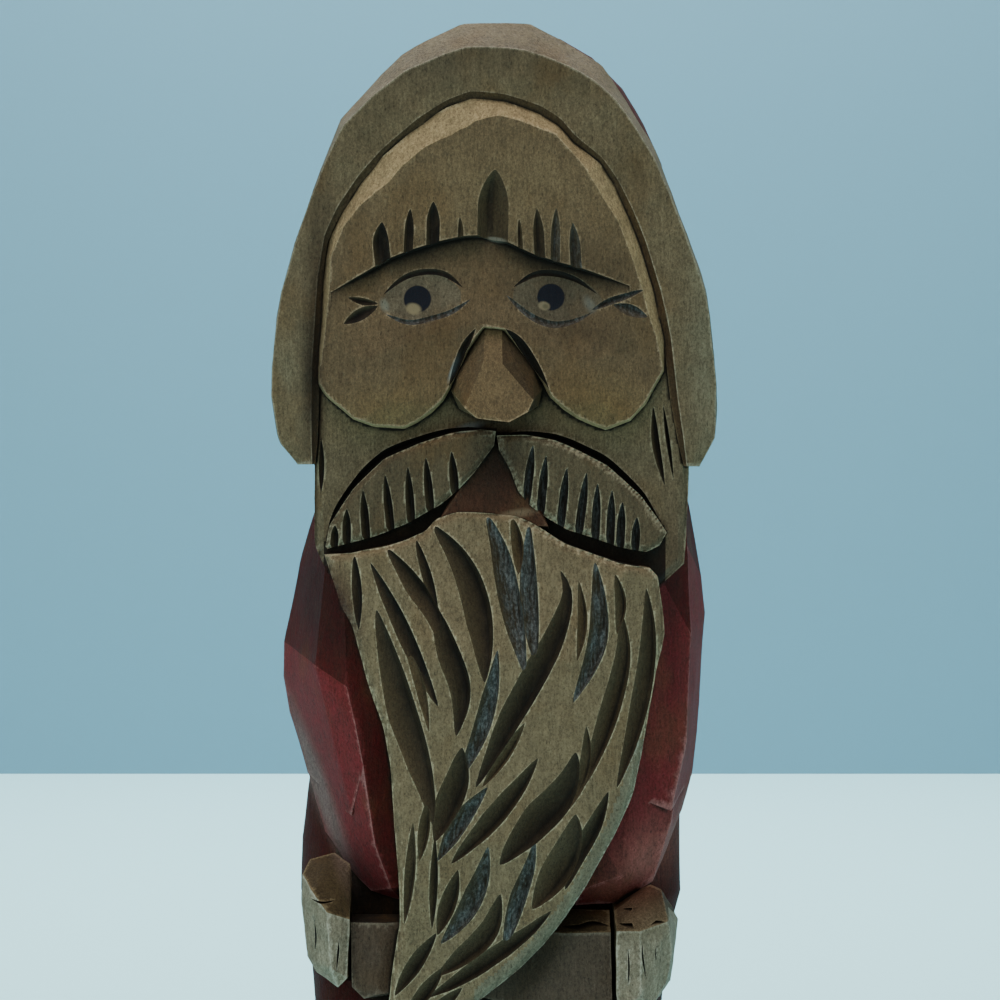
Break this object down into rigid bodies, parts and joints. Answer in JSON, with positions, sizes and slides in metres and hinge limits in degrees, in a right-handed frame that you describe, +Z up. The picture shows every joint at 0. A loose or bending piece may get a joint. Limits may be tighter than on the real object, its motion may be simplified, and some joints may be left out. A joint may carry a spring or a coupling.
{
  "type": "carved santa figure",
  "caption": "Whittled wooden santa standing on a low base: fur-brimmed hood, broad flat face, ribbed moustache, long gouged beard swept to one side, sleeves with fur cuffs and a long coat.",
  "frame": {"origin": "centre of the base's underside, where the figure stands", "axes": "+Z up along the figure's height; the face looks along -Y; +X is to the viewer's right"},
  "size_m": [0.0915, 0.076, 0.3024],
  "materials": {
    "carved_wood": "painted in thin washes, rubbed back on the ridges and darkened with brown wax, low sheen"
  },
  "bodies": {
    "root": {"carved_santa": "carved_wood"}
  },
  "joints": []
}
